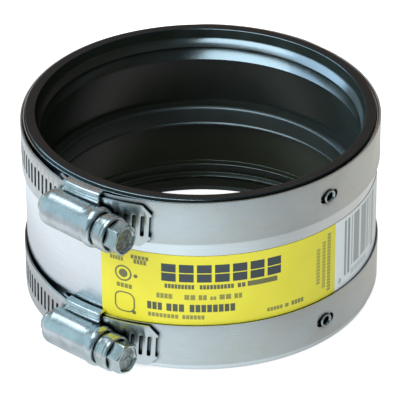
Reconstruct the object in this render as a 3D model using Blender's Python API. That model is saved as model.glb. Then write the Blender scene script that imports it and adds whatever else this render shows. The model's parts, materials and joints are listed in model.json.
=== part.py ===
"""Shielded flexible pipe coupling, standing on one end.

A moulded rubber sleeve is wrapped by a thin rolled shield and held by two worm-drive band
clamps. The bore runs along Z. Angles are in degrees, counted from the front (-Y) towards +X.
"""
import math

import bmesh
import bpy
from mathutils import Matrix, Vector

mm = 0.001

# Rubber sleeve
pipe_diameter = 88.9 * mm
sleeve_length = 54.0 * mm
sleeve_wall = 2.8 * mm
socket_clearance = 1.15 * mm
rim_rounding = 0.25 * mm
toe_height = 0.7 * mm
toe_length = 1.0 * mm
rib_height = 1.35 * mm
ribs_from_end = 2.8 * mm
outer_rib_length = 2.4 * mm
inner_rib_length = 3.4 * mm
rib_back = 0.6 * mm
groove_height = 0.34 * mm
rib_shoulder = 0.75
stop_height = 2.8 * mm
stop_width = 6.6 * mm
stop_draft = 0.4 * mm
stop_below_middle = 0.6 * mm
sleeve_segments = 60

# Rolled shield
shield_thickness = 0.3 * mm
shield_clearance = 0.25 * mm
shield_set_back = 0.4 * mm
seam_angle = 150.0
seam_overlap = 17.0 * mm
seam_clearance = 0.1 * mm
seam_ramp = 8.0 * mm
seam_blend = 0.5
band_lead, band_settled = 1.6, 0.6

# Clamp bands
band_width = 12.7 * mm
band_thickness = 0.6 * mm
band_clearance = 0.2 * mm
layer_clearance = 0.1 * mm
upper_band_from_end = 6.75 * mm
lower_band_from_end = 8.6 * mm
tongue_length = 3.4 * mm
tail_corner = 2.6 * mm
tail_lift = 0.35 * mm
band_settle = 15.0 * mm
strip_rise = 38.0 * mm
strip_step = 0.55 * mm
strip_step_share = 0.6
grip_margin = 1.0 * mm
head_sinks_within = 40.0
tail_sinks_from, tail_sinks_to = 210.0, 300.0

# Perforation
slot_pitch = 2.35 * mm
slot_width = 1.1 * mm
slot_length = 6.4 * mm
slot_lean = 3.5
slot_count = 31
first_slot_margin = 1.4 * mm

# Saddle
saddle_length = 11.9 * mm
saddle_thickness = 0.6 * mm
saddle_clearance = 0.2 * mm
saddle_side_play = 0.12 * mm
saddle_lip = 1.75 * mm
saddle_bend = 0.35 * mm

# Housing
housing_thickness = 0.65 * mm
barrel_bore = 9.3 * mm
barrel_behind = 8.3 * mm
barrel_ahead = 10.3 * mm
flange_play = 0.25 * mm
flange_land = 0.3 * mm
flange_fillet = 1.1 * mm
dome_length = 2.2 * mm
dome_depth = 1.1 * mm
mouth_length = 2.9 * mm
mouth_rise = 0.35 * mm
barrel_edge = 0.25 * mm
flange_run_out = 0.3 * mm
arch_steps = 6

# Worm screw
thread_diameter = 7.2 * mm
thread_depth = 0.9 * mm
thread_clearance = 0.12 * mm
thread_crest = 0.5 * mm
thread_flank = 0.4 * mm
thread_sink = 0.25 * mm
thread_fade_turns = 0.5
thread_start = -7.9 * mm
thread_turns = 5.9
screw_tip_diameter = 5.8 * mm
screw_tip_reach = 2.3 * mm
journal_clearance = 0.3 * mm
journal_length = 2.2 * mm
screw_edge = 0.35 * mm
collar_diameter = 10.2 * mm
collar_thickness = 3.5 * mm
collar_gap = 1.3 * mm
hex_across_flats = 7.94 * mm
collar_undercut = 0.4 * mm
hex_length = 4.1 * mm
hex_chamfer = 0.6 * mm
dish_rim = 0.5 * mm
dish_depth = 1.0 * mm
dish_corner = 1.07

# Eyelets that tie each band to the shield
eyelet_flange = 4.2 * mm
eyelet_hole = 2.0 * mm
eyelet_shank = 2.9 * mm
eyelet_crown = 0.45 * mm
eyelet_clinch = 0.35 * mm
eyelet_slot_length = 6.4 * mm
eyelet_slot_height = 3.1 * mm
eyelet_clearance = 0.1 * mm
eyelet_edge = 0.15 * mm

# Label
label_width = 102.0 * mm
label_below_end = 17.25 * mm
label_tuck = 1.3 * mm
label_thickness = 0.06 * mm
label_clearance = 0.06 * mm
label_left_angle = -33.2
label_corner = 2.5 * mm
label_end_margin = 3.2

# Cutters reach this far past the faces that they cut, and edges sharper than this stay crisp
overshoot = 1.0 * mm
crease_angle = 32.0

# Radii that follow from the stack of sleeve, shield and clamp
socket_radius = pipe_diameter / 2 + socket_clearance
sleeve_radius = socket_radius + sleeve_wall
shield_inner = sleeve_radius + shield_clearance
shield_outer = shield_inner + shield_thickness
band_inner = shield_outer + band_clearance
saddle_inner = shield_outer + saddle_clearance
head_inner = saddle_inner + saddle_thickness + layer_clearance
tail_inner = head_inner + band_thickness + layer_clearance
tail_outer = tail_inner + band_thickness
flange_inner = tail_outer + layer_clearance
flange_outer = flange_inner + housing_thickness
lip_inner = flange_outer + layer_clearance
lip_outer = lip_inner + saddle_thickness
screw_distance = tail_outer + thread_clearance + thread_diameter / 2

# Each clamp: height of its band, how far its parts sit lower, and where its pieces lie. Its screw
# runs square to the radius at the screw angle, and the saddle's centre lies ahead of that radius.
clamps = {
    "upper": {
        "height": sleeve_length - upper_band_from_end,
        "head_drop": 0.6 * mm, "tail_drop": 1.3 * mm, "back_drop": 0.5 * mm, "eyelet_drop": 0.0 * mm,
        "screw_angle": -42.0, "saddle_ahead": 3.7 * mm, "tail_length": 13.7 * mm,
        "eyelet_angle": 43.5, "hex_turn": -8.0,
    },
    "lower": {
        "height": lower_band_from_end,
        "head_drop": 0.45 * mm, "tail_drop": 0.7 * mm, "back_drop": 0.0 * mm, "eyelet_drop": 0.7 * mm,
        "screw_angle": -40.5, "saddle_ahead": 1.7 * mm, "tail_length": 15.7 * mm,
        "eyelet_angle": 42.8, "hex_turn": 20.0,
    },
}

# The saddle is wide enough for both band layers, though one sits lower than the other
layer_offset = max(clamp["tail_drop"] - clamp["head_drop"] for clamp in clamps.values())
saddle_half_width = (band_width + layer_offset) / 2 + saddle_side_play + saddle_thickness


def clear_scene():
    for item in list(bpy.data.objects):
        bpy.data.objects.remove(item, do_unlink=True)


def make_material(name, colour, roughness, metallic):
    material = bpy.data.materials.new(name)
    material.use_nodes = True
    shader = material.node_tree.nodes["Principled BSDF"]
    shader.inputs["Base Color"].default_value = (*colour, 1.0)
    shader.inputs["Roughness"].default_value = roughness
    shader.inputs["Metallic"].default_value = metallic
    return material


def make_object(name, mesh_data, material=None, parent=None):
    """Turn a bmesh into a named object with its normals facing out."""
    bmesh.ops.recalc_face_normals(mesh_data, faces=mesh_data.faces)
    mesh = bpy.data.meshes.new(name)
    mesh_data.to_mesh(mesh)
    mesh_data.free()
    mesh.shade_smooth()
    mesh.set_sharp_from_angle(angle=math.radians(crease_angle))
    made = bpy.data.objects.new(name, mesh)
    bpy.context.collection.objects.link(made)
    if material:
        made.data.materials.append(material)
    made.parent = parent
    return made


def make_cutter(name, mesh_data, parent=None):
    cutter = make_object(name, mesh_data, parent=parent)
    cutter.hide_render = True
    cutter.display_type = "WIRE"
    return cutter


def combine(target, tool, operation):
    step = target.modifiers.new(f"{operation.lower()}_{tool.name}", "BOOLEAN")
    step.operation = operation
    step.solver = "EXACT"
    step.object = tool


def around(angle, radius, height):
    """Point on a circle about the bore axis."""
    turn = math.radians(angle)
    return Vector((radius * math.sin(turn), -radius * math.cos(turn), height))


def ease(value, start, end):
    """Smooth step from 0 at start to 1 at end."""
    share = min(max((value - start) / (end - start), 0.0), 1.0)
    return share * share * (3 - 2 * share)


def arc_angle(length, radius):
    return math.degrees(length / radius)


def turned(profile, segments, axis="Z"):
    """Spin a closed profile of (radius, position) points about the axis."""
    mesh_data = bmesh.new()
    if axis == "Z":
        corners = [mesh_data.verts.new((radius, 0, position)) for radius, position in profile]
        direction = (0, 0, 1)
    else:
        corners = [mesh_data.verts.new((position, 0, radius)) for radius, position in profile]
        direction = (1, 0, 0)
    edges = [mesh_data.edges.new((corners[i - 1], corners[i])) for i in range(len(corners))]
    bmesh.ops.spin(
        mesh_data, geom=corners + edges, cent=(0, 0, 0), axis=direction,
        angle=math.tau, steps=segments, use_merge=True,
    )
    bmesh.ops.remove_doubles(mesh_data, verts=mesh_data.verts, dist=0.0005 * mm)
    bmesh.ops.dissolve_degenerate(mesh_data, edges=mesh_data.edges, dist=0.0005 * mm)
    return mesh_data


def lofted(rings):
    """Skin closed rings of points, one after the other, and cap both ends."""
    mesh_data = bmesh.new()
    rows = [[mesh_data.verts.new(point) for point in ring] for ring in rings]
    count = len(rows[0])
    for before, after in zip(rows, rows[1:]):
        for i in range(count):
            mesh_data.faces.new((before[i - 1], before[i], after[i], after[i - 1]))
    mesh_data.faces.new(rows[0])
    mesh_data.faces.new(rows[-1])
    bmesh.ops.remove_doubles(mesh_data, verts=mesh_data.verts, dist=0.002 * mm)
    return mesh_data


def radial_prism(outline, angle, height, inner, outer):
    """Prism whose outline of (along, up) points faces out from the bore axis."""
    turn = Matrix.Rotation(math.radians(angle), 3, "Z")
    rings = []
    for radius in (inner, outer):
        rings.append([turn @ Vector((along, -radius, height + up)) for along, up in outline])
    return lofted(rings)


def eyelet_prism(clamp, outline, inner, outer):
    """Prism where the clamp's eyelet goes."""
    return radial_prism(
        outline, clamp["eyelet_angle"], clamp["height"] - clamp["eyelet_drop"], inner, outer)


def round_outline(width, height, segments=16):
    """Circle, or a slot with round ends where width is more than height."""
    reach = (width - height) / 2
    outline = []
    for i in range(segments):
        turn = math.tau * (i + 0.5) / segments
        side = math.copysign(reach, math.cos(turn))
        outline.append((side + height / 2 * math.cos(turn), height / 2 * math.sin(turn)))
    return outline


def strip(columns, radius_at, height_at):
    """Sheet wound about the bore axis, made column by column.

    Each column holds its angle, lean, half width and, where a hole starts or ends, the two
    heights of the hole. The sheet is open between columns that are marked so.
    """
    mesh_data = bmesh.new()

    def place(column, up):
        radius = radius_at(column["angle"])
        angle = column["angle"] + math.degrees(up * math.tan(math.radians(column["lean"])) / radius)
        return mesh_data.verts.new(around(angle, radius, height_at(column["angle"]) + up))

    lines = []
    for column in columns:
        low, high = column["bottom"], column["top"]
        hole = column["hole"]
        if hole is None:
            lines.append(([place(column, low)], [place(column, high)]))
        elif hole == 0:
            middle = place(column, 0)
            lines.append(([place(column, low), middle], [middle, place(column, high)]))
        else:
            lines.append((
                [place(column, low), place(column, -hole)],
                [place(column, hole), place(column, high)],
            ))
    for column, (low_a, high_a), (low_b, high_b) in zip(columns, lines, lines[1:]):
        if column["open"]:
            for side_a, side_b in ((low_a, low_b), (high_a, high_b)):
                mesh_data.faces.new(side_a + side_b[::-1])
        else:
            left = low_a + [corner for corner in high_a if corner not in low_a]
            right = low_b + [corner for corner in high_b if corner not in low_b]
            mesh_data.faces.new(left + right[::-1])
    return mesh_data


def add_column(columns, angle, half, hole=None, open_after=False, lean=0.0):
    columns.append({
        "angle": angle, "lean": lean, "bottom": -half, "top": half, "hole": hole, "open": open_after,
    })


def face_outward(mesh_object):
    """Point every face of an open sheet away from the bore axis."""
    mesh_data = bmesh.new()
    mesh_data.from_mesh(mesh_object.data)
    for face in mesh_data.faces:
        face.normal_update()
        centre = face.calc_center_median()
        if face.normal.x * centre.x + face.normal.y * centre.y < 0:
            face.normal_flip()
    mesh_data.to_mesh(mesh_object.data)
    mesh_data.free()


def thicken(sheet, thickness):
    face_outward(sheet)
    step = sheet.modifiers.new("thickness", "SOLIDIFY")
    step.thickness = thickness
    step.offset = 1.0
    step.use_even_offset = True


# Rubber sleeve
def ribs():
    """Sealing ribs of one socket, as (height of the rib, distance from the sleeve's end).

    Each rib ramps up away from the end, so that a pipe slides in, and drops off behind its crest.
    """
    points = [(0.0, ribs_from_end)]
    start = ribs_from_end
    for length, foot in ((outer_rib_length, groove_height), (inner_rib_length, 0.0)):
        crest = start + length
        points += [(rib_shoulder * rib_height, start + length / 2), (rib_height, crest)]
        points.append((foot, crest + rib_back))
        start = crest + rib_back
    return points


def sleeve_profile():
    end = sleeve_length
    middle = end / 2 - stop_below_middle
    stop_radius = socket_radius - stop_height
    toe_radius = socket_radius - toe_height
    lower_ribs = [(socket_radius - height, place) for height, place in ribs()]
    upper_ribs = [(socket_radius - height, end - place) for height, place in ribs()[::-1]]
    stop = [
        (socket_radius, middle - stop_width / 2 - stop_draft), (stop_radius, middle - stop_width / 2),
        (stop_radius, middle + stop_width / 2), (socket_radius, middle + stop_width / 2 + stop_draft),
    ]
    inside = [(toe_radius, rim_rounding), (socket_radius, toe_length)] + lower_ribs + stop + upper_ribs
    inside.append((socket_radius, end - rim_rounding))
    outside = [
        (socket_radius + rim_rounding, end), (sleeve_radius - rim_rounding, end),
        (sleeve_radius, end - rim_rounding), (sleeve_radius, rim_rounding),
        (sleeve_radius - rim_rounding, 0), (toe_radius + rim_rounding, 0),
    ]
    return inside + outside


def build_gasket(root, material):
    gasket = make_object("gasket", turned(sleeve_profile(), sleeve_segments), material, root)
    pocket_floor = shield_inner - eyelet_clinch - 2 * eyelet_clearance - shield_clearance
    width = eyelet_flange + 4 * eyelet_clearance
    for name, clamp in clamps.items():
        pocket = make_cutter(
            f"{name}_pocket_cutter",
            eyelet_prism(clamp, round_outline(width, width), pocket_floor, shield_outer), root,
        )
        combine(gasket, pocket, "DIFFERENCE")
    return gasket


# Rolled shield
def seam_step(angle):
    """Outward step of the shield where its outer end laps over its inner end."""
    inner_end = seam_angle + 360
    ramp = arc_angle(seam_ramp, shield_inner)
    return (shield_thickness + seam_clearance) * ease(angle, inner_end - ramp, inner_end - seam_blend)


def build_shield(root, material):
    overlap = arc_angle(seam_overlap, shield_inner)
    half = sleeve_length / 2 - shield_set_back
    columns = []
    step = 360 / sleeve_segments
    angle = seam_angle
    while angle < seam_angle + 360 + overlap:
        add_column(columns, angle, half)
        near_step = seam_angle + 345 < angle < seam_angle + 360
        angle += step / 2 if near_step else step
    add_column(columns, seam_angle + 360 + overlap, half)
    sheet = strip(columns, lambda a: shield_inner + seam_step(a), lambda a: sleeve_length / 2)
    shield = make_object("shield", sheet, material, root)
    thicken(shield, shield_thickness)
    hole = eyelet_shank + 2 * eyelet_clearance
    for name, clamp in clamps.items():
        cutter = make_cutter(
            f"{name}_shield_hole_cutter",
            eyelet_prism(clamp, round_outline(hole, hole), sleeve_radius - sleeve_wall / 2, lip_outer),
            root,
        )
        combine(shield, cutter, "DIFFERENCE")
    return shield


# Clamp bands
def clamp_angles(clamp):
    """Angles of the saddle's ends, and of the band's head and tail ends."""
    centre = clamp["screw_angle"] + arc_angle(clamp["saddle_ahead"], head_inner)
    half = arc_angle(saddle_length / 2, head_inner)
    head_end = centre - half - arc_angle(tongue_length, head_inner)
    tail_end = centre + half + arc_angle(clamp["tail_length"], head_inner)
    return centre - half, centre + half, head_end, tail_end


def head_radius(clamp, angle):
    """Inner radius of the band layer that lies on the shield."""
    left, right, head_end, _ = clamp_angles(clamp)
    plateau = head_inner - band_inner
    margin = arc_angle(grip_margin, head_inner)
    rise = ease(angle, head_end - margin, left - margin)
    settle = 1 - ease(angle, right + margin, right + margin + arc_angle(band_settle, head_inner))
    over_seam = shield_thickness + seam_clearance
    ramp = arc_angle(seam_ramp, shield_inner)
    overlap = arc_angle(seam_overlap, shield_inner)
    bump = ease(angle, seam_angle - band_lead * ramp, seam_angle - band_settled * ramp)
    lap_end = seam_angle + overlap
    bump *= 1 - ease(angle, lap_end + band_settled * ramp, lap_end + band_lead * ramp)
    return band_inner + plateau * min(rise, settle) + over_seam * bump


def band_radius(clamp, angle):
    """Inner radius along the whole band, from its head end round to its tail end."""
    left, right, _, tail_end = clamp_angles(clamp)
    margin = arc_angle(grip_margin, head_inner)
    rise = arc_angle(strip_rise, head_inner)
    start = left + 360 - margin - rise
    if angle < start:
        return head_radius(clamp, angle)
    if angle < right + 360:
        middle = start + rise * strip_step_share
        level = strip_step * ease(angle, start, middle)
        last = tail_inner - band_inner - strip_step
        return band_inner + level + last * ease(angle, middle, left + 360 - margin)
    lift = tail_lift * ease(angle, right + 360, tail_end + 360)
    return head_radius(clamp, angle - 360) + band_thickness + layer_clearance + lift


def band_height(clamp, angle):
    """Mid height of the band, which sinks a little to the back and where the saddle grips it."""
    _, right, _, _ = clamp_angles(clamp)
    head = clamp["head_drop"] * (1 - ease(angle, right, right + head_sinks_within))
    tail = clamp["tail_drop"] * ease(angle, tail_sinks_from, tail_sinks_to)
    back = clamp["back_drop"] * (1 - math.cos(math.radians(angle))) / 2
    return clamp["height"] - back - (head if angle < 180 else tail)


def add_slot(columns, centre, lean, half_at):
    """Three columns for one perforation, whose ends are pointed."""
    straight = slot_length / 2 - slot_width / 2
    for along, hole, open_after in (
        (-slot_width / 2, straight, True), (0, slot_length / 2, True), (slot_width / 2, straight, False),
    ):
        place = centre + arc_angle(along, tail_inner)
        add_column(columns, place, half_at(place), hole, open_after, lean)


def band_columns(clamp):
    _, right, head_end, tail_end = clamp_angles(clamp)
    half = band_width / 2
    end = tail_end + 360
    pitch = arc_angle(slot_pitch, tail_inner)
    first_slot = end - slot_count * pitch

    def half_at(angle):
        to_end = math.radians(end - angle) * tail_inner
        return min(half, half - tail_corner + to_end)

    columns = []
    step = 360 / sleeve_segments
    angle = head_end
    plain_end = first_slot - arc_angle(first_slot_margin, tail_inner)
    while angle < plain_end - step / 16:
        add_column(columns, angle, half)
        bending = angle < right + 20 or abs(angle - seam_angle) < 40 or angle > 255
        angle += step / 2 if bending else step
    add_column(columns, plain_end, half, lean=slot_lean)
    for index in range(slot_count):
        add_slot(columns, first_slot + index * pitch, slot_lean, half_at)
    notch = arc_angle(slot_width / 2, tail_inner)
    add_column(columns, end - notch, half_at(end - notch), (slot_length - slot_width) / 2, True, slot_lean)
    add_column(columns, end, half_at(end), slot_length / 2, False, slot_lean)
    return columns


def build_band(name, clamp, root, material):
    sheet = strip(
        band_columns(clamp), lambda a: band_radius(clamp, a), lambda a: band_height(clamp, a))
    band = make_object(f"{name}_band", sheet, material, root)
    thicken(band, band_thickness)
    cutter = make_cutter(
        f"{name}_eyelet_slot_cutter",
        eyelet_prism(clamp, round_outline(eyelet_slot_length, eyelet_slot_height), shield_inner, lip_outer),
        root,
    )
    combine(band, cutter, "DIFFERENCE")
    return band


# Saddle under the band, with its lips folded over the housing's flanges
def saddle_loop():
    """Closed loop of (radius, height) points round the folded sheet."""
    corner_outer = saddle_bend + saddle_thickness
    wall = saddle_half_width
    outer, inner = [], []
    for radius, height, start in (
        (saddle_inner + corner_outer, wall - corner_outer, -90),
        (lip_outer - corner_outer, wall - corner_outer, 0),
    ):
        for step in range(4):
            turn = math.radians(start + 30 * step)
            outer.append((radius + corner_outer * math.sin(turn), height + corner_outer * math.cos(turn)))
            inner.append((radius + saddle_bend * math.sin(turn), height + saddle_bend * math.cos(turn)))
    outer.append((lip_outer, wall - saddle_lip))
    inner.append((lip_inner, wall - saddle_lip))
    mirrored_outer = [(radius, -height) for radius, height in outer[::-1]]
    mirrored_inner = [(radius, -height) for radius, height in inner]
    return mirrored_outer + outer + inner[::-1] + mirrored_inner


def saddle_height(clamp):
    """Mid height of the saddle, halfway between the band's two layers."""
    back = clamp["back_drop"] * (1 - math.cos(math.radians(clamp["screw_angle"]))) / 2
    return clamp["height"] - back - (clamp["head_drop"] + clamp["tail_drop"]) / 2


def build_saddle(name, clamp, root, material):
    left, right, _, _ = clamp_angles(clamp)
    height = saddle_height(clamp)
    stations = 5
    rings = []
    for i in range(stations):
        angle = left + (right - left) * i / (stations - 1)
        rings.append([around(angle, radius, height + up) for radius, up in saddle_loop()])
    return make_object(f"{name}_saddle", lofted(rings), material, root)


# Housing, pressed from one sheet: an arch over the screw and a flange on each side
def barrel_swell(along):
    """How far the arch stands out or in there: it closes in behind and swells at its mouth."""
    into_dome = min((along + barrel_behind) / dome_length, 1.0)
    dome = dome_depth * (1 - math.sqrt(1 - (1 - into_dome) ** 2))
    into_mouth = max((along - barrel_ahead + mouth_length) / mouth_length, 0.0)
    return mouth_rise * math.sin(math.pi * into_mouth) - dome


def housing_section(clamp, along, flanged, shrink=0.0):
    """Loop of (out, up) points round the sheet, this far along the screw from the saddle's centre."""
    half_sheet = housing_thickness / 2
    middle = barrel_bore / 2 + half_sheet + barrel_swell(along)
    from_foot = along + clamp["saddle_ahead"]
    level = math.sqrt((flange_inner + half_sheet) ** 2 - from_foot ** 2) - screw_distance
    line = []
    if flanged:
        # The fillet leaves a flat land on the flange, so a narrow saddle limits it
        flange_end = saddle_half_width - saddle_thickness - flange_play
        room = ((flange_end - flange_land) ** 2 - middle ** 2 + level ** 2) / (2 * (middle - level))
        fillet = min(flange_fillet, room)
        reach = middle + fillet
        foot = math.asin((level + fillet) / reach)
        centre = (reach * math.sin(foot), reach * math.cos(foot))
        line.append((level, flange_end, 1.0, 0.0))
        for share in (0.0, 0.33, 0.67):
            bend = share * (math.pi / 2 - foot)
            out = centre[0] - fillet * math.cos(bend)
            up = centre[1] - fillet * math.sin(bend)
            line.append((out, up, math.cos(bend), math.sin(bend)))
    else:
        foot = math.asin(max(level / middle, math.sin(math.radians(-84))))
        line += 4 * [(middle * math.sin(foot), middle * math.cos(foot), math.sin(foot), math.cos(foot))]
    for step in range(arch_steps):
        turn = foot + (math.pi / 2 - foot) * step / arch_steps
        line.append((middle * math.sin(turn), middle * math.cos(turn), math.sin(turn), math.cos(turn)))
    mirrored = [(out, -up, normal_out, -normal_up) for out, up, normal_out, normal_up in line[::-1]]
    full = line + [(middle, 0.0, 1.0, 0.0)] + mirrored
    outer = [(o + (half_sheet - shrink) * no, u + (half_sheet - shrink) * nu) for o, u, no, nu in full]
    inner = [(o - half_sheet * no, u - half_sheet * nu) for o, u, no, nu in full]
    return outer + inner[::-1]


def build_housing(name, clamp, frame, material):
    half = saddle_length / 2
    stations = [(-barrel_behind, False, barrel_edge)]
    for share in (0.08, 0.35):
        stations.append((-barrel_behind + share * dome_length, False, 0.0))
    stations.append((-half - flange_run_out, False, 0.0))
    flange_steps = 4
    for i in range(flange_steps + 1):
        stations.append((-half + saddle_length * i / flange_steps, True, 0.0))
    stations.append((half + flange_run_out, False, 0.0))
    for share in (1.0, 0.5, 0.08):
        stations.append((barrel_ahead - share * mouth_length, False, 0.0))
    stations.append((barrel_ahead, False, barrel_edge))
    rings = []
    for along, flanged, shrink in stations:
        loop = housing_section(clamp, along, flanged, shrink)
        rings.append([Vector((along, -out, up)) for out, up in loop])
    return make_object(f"{name}_housing", lofted(rings), material, frame)


# Worm screw, along the frame's X, measured from the saddle's centre
def screw_blank_profile():
    """Shank, bearing journal and collar, from the axis out, along the screw."""
    core = thread_diameter / 2 - thread_depth
    tip = -barrel_behind - screw_tip_reach
    tip_radius = screw_tip_diameter / 2
    journal = barrel_bore / 2 - journal_clearance
    collar = collar_diameter / 2
    collar_start = barrel_ahead + collar_gap
    collar_end = collar_start + collar_thickness
    edge = screw_edge
    return [
        (0, tip), (tip_radius - edge, tip), (tip_radius, tip + edge),
        (tip_radius, -barrel_behind + edge), (core, -barrel_behind + 2 * edge),
        (core, barrel_ahead - journal_length), (journal, barrel_ahead - journal_length + edge),
        (journal, collar_start), (collar - edge, collar_start), (collar, collar_start + edge),
        (collar, collar_end - edge), (collar - edge, collar_end), (collar - 2 * edge, collar_end),
        (collar - 3 * edge, collar_end - collar_undercut), (0, collar_end - collar_undercut),
    ]


def hex_prism(start, end, turn):
    corner = hex_across_flats / math.sqrt(3)
    rings = []
    for along in (start, end):
        ring = []
        for i in range(6):
            angle = math.radians(60 * i + turn)
            ring.append(Vector((along, -corner * math.cos(angle), corner * math.sin(angle))))
        rings.append(ring)
    return lofted(rings)


def hex_dish(end, flat, turn):
    """Dish in the head's end face, with six sides and rounded corners."""
    rings = []
    for along, share in ((end - dish_depth, 0.8), (end - 0.7 * dish_depth, 0.95), (end + overshoot, 1.0)):
        ring = []
        for i in range(18):
            off_flat = math.radians(abs(20 * i % 60 - 30))
            radius = share * min(flat / math.cos(off_flat), dish_corner * flat)
            angle = math.radians(20 * i + turn)
            ring.append(Vector((along, -radius * math.cos(angle), radius * math.sin(angle))))
        rings.append(ring)
    return lofted(rings)


def thread_ridge():
    """Helical ridge whose height fades in and out over half a turn."""
    steps_per_turn = 8
    steps = round(thread_turns * steps_per_turn)
    root = thread_diameter / 2 - thread_depth - thread_sink
    rings = []
    for i in range(steps + 1):
        turns = i / steps_per_turn
        full = min(turns, thread_turns - turns) / thread_fade_turns
        crest = root + (thread_depth + thread_sink) * min(max(full, 0.05), 1.0)
        along = thread_start + turns * slot_pitch
        angle = math.tau * turns
        ring = []
        for offset, radius in (
            (-thread_crest / 2 - thread_flank, root), (-thread_crest / 2, crest),
            (thread_crest / 2, crest), (thread_crest / 2 + thread_flank, root),
        ):
            ring.append(Vector((along + offset, radius * math.cos(angle), radius * math.sin(angle))))
        rings.append(ring)
    return lofted(rings)


def build_screw(name, clamp, frame, material):
    collar_end = barrel_ahead + collar_gap + collar_thickness
    hex_end = collar_end + hex_length
    corner = hex_across_flats / math.sqrt(3)
    flat = hex_across_flats / 2
    screw = make_object(
        f"{name}_screw", turned(screw_blank_profile(), 18, "X"), material, frame)

    hex_blank = hex_prism(collar_end - collar_thickness / 2, hex_end, clamp["hex_turn"])
    head = make_cutter(f"{name}_hex_blank", hex_blank, frame)
    chamfer_profile = [
        (0, collar_end - collar_thickness), (corner + overshoot, collar_end - collar_thickness),
        (corner + overshoot, hex_end - 2 * hex_chamfer), (flat, hex_end), (0, hex_end + hex_chamfer),
    ]
    chamfer = make_cutter(f"{name}_chamfer_blank", turned(chamfer_profile, 18, "X"), frame)
    combine(head, chamfer, "INTERSECT")
    combine(screw, head, "UNION")
    combine(screw, make_cutter(
        f"{name}_dish_cutter", hex_dish(hex_end, flat - dish_rim, clamp["hex_turn"]), frame), "DIFFERENCE")
    combine(screw, make_cutter(f"{name}_thread_ridge", thread_ridge(), frame), "UNION")
    return screw


# Hollow rivet with a domed flange outside and a clinched flange inside
def build_eyelet(name, clamp, root, material):
    hole, shank = eyelet_hole / 2, eyelet_shank / 2
    flange = eyelet_flange / 2
    seat = band_inner + band_thickness + eyelet_clearance
    crown = seat + eyelet_crown
    inner_face = shield_inner - eyelet_clearance
    clinch = inner_face - eyelet_clinch
    edge = eyelet_edge
    profile = [
        (hole, clinch), (flange - edge, clinch), (flange, clinch + edge), (flange, inner_face),
        (shank, inner_face), (shank, seat), (flange, seat), (flange, seat + edge),
        ((flange + shank) / 2, crown), (shank, crown), (hole, crown - 2 * edge),
    ]
    mesh_data = turned(profile, 12)
    lie_down = Matrix.Rotation(math.radians(90), 3, "X")
    face_out = Matrix.Rotation(math.radians(clamp["eyelet_angle"]), 3, "Z")
    bmesh.ops.transform(mesh_data, matrix=(face_out @ lie_down).to_4x4(), verts=mesh_data.verts)
    eyelet = make_object(f"{name}_eyelet", mesh_data, material, root)
    eyelet.location.z = clamp["height"] - clamp["eyelet_drop"]
    return eyelet


# Label, stuck to the shield and tucked under the lower band
def build_label(root, material):
    radius = shield_outer + label_clearance
    bottom = lower_band_from_end + band_width / 2 - label_tuck
    half = (sleeve_length - label_below_end - bottom) / 2
    right_angle = label_left_angle + arc_angle(label_width, radius)
    step = 360 / sleeve_segments
    angles = []
    for share in (0.0, 0.13, 0.5, 1.0):
        inset = arc_angle(label_corner * share, radius)
        angles += [label_left_angle + inset, right_angle - inset]
    grid_start = math.ceil((label_left_angle + label_end_margin) / step)
    grid_end = math.floor((right_angle - label_end_margin) / step)
    angles += [step * i for i in range(grid_start, grid_end + 1)]
    columns = []
    for angle in sorted(angles):
        edge = math.radians(min(angle - label_left_angle, right_angle - angle)) * radius
        inward = max(label_corner - edge, 0.0)
        cut = label_corner - math.sqrt(max(label_corner ** 2 - inward ** 2, 0.0))
        add_column(columns, angle, half - cut)
    sheet = strip(columns, lambda a: radius, lambda a: bottom + half)
    label = make_object("label", sheet, material, root)
    thicken(label, label_thickness)
    return label


def centre_on_floor(root):
    """Move the whole coupling so that its box is centred over the origin and stands at zero."""
    bpy.context.view_layer.update()
    graph = bpy.context.evaluated_depsgraph_get()
    corners = []
    for item in bpy.context.scene.objects:
        if item.type == "MESH" and not item.hide_render:
            shown = item.evaluated_get(graph)
            corners += [shown.matrix_world @ corner.co for corner in shown.data.vertices]
    low = Vector([min(corner[axis] for corner in corners) for axis in range(3)])
    high = Vector([max(corner[axis] for corner in corners) for axis in range(3)])
    root.location = (-(low.x + high.x) / 2, -(low.y + high.y) / 2, -low.z)
    bpy.context.view_layer.update()


def build():
    clear_scene()
    rubber = make_material("sleeve_rubber", (0.016, 0.017, 0.014), 0.55, 0.0)
    sheet_steel = make_material("shield_steel", (0.66, 0.70, 0.73), 0.28, 1.0)
    band_steel = make_material("band_steel", (0.55, 0.59, 0.61), 0.34, 1.0)
    plated_steel = make_material("plated_steel", (0.62, 0.66, 0.67), 0.22, 1.0)
    screw_steel = make_material("screw_steel", (0.55, 0.58, 0.57), 0.3, 1.0)
    label_paper = make_material("label_paper", (0.82, 0.76, 0.10), 0.45, 0.0)

    root = bpy.data.objects.new("coupling_root", None)
    bpy.context.collection.objects.link(root)
    build_gasket(root, rubber)
    build_shield(root, sheet_steel)
    build_label(root, label_paper)
    for name, clamp in clamps.items():
        frame = bpy.data.objects.new(f"{name}_screw_frame", None)
        bpy.context.collection.objects.link(frame)
        frame.parent = root
        foot = around(clamp["screw_angle"], screw_distance, saddle_height(clamp))
        frame.location = foot + around(clamp["screw_angle"] + 90, clamp["saddle_ahead"], 0)
        frame.rotation_euler.z = math.radians(clamp["screw_angle"])
        build_band(name, clamp, root, band_steel)
        build_saddle(name, clamp, root, plated_steel)
        build_housing(name, clamp, frame, plated_steel)
        build_screw(name, clamp, frame, screw_steel)
        build_eyelet(name, clamp, root, plated_steel)
    centre_on_floor(root)


build()
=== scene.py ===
"""Looks of a shielded flexible pipe coupling that stands on one end.

Every piece is built about the bore axis, in metres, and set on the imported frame. Angles are in
degrees, counted from the front (-Y) towards +X.
"""
import json
from math import asin, atan2, copysign, cos, degrees, hypot, pi, radians, sin, sqrt, tan, tau

import bmesh
import bpy
from mathutils import Matrix, Vector


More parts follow.
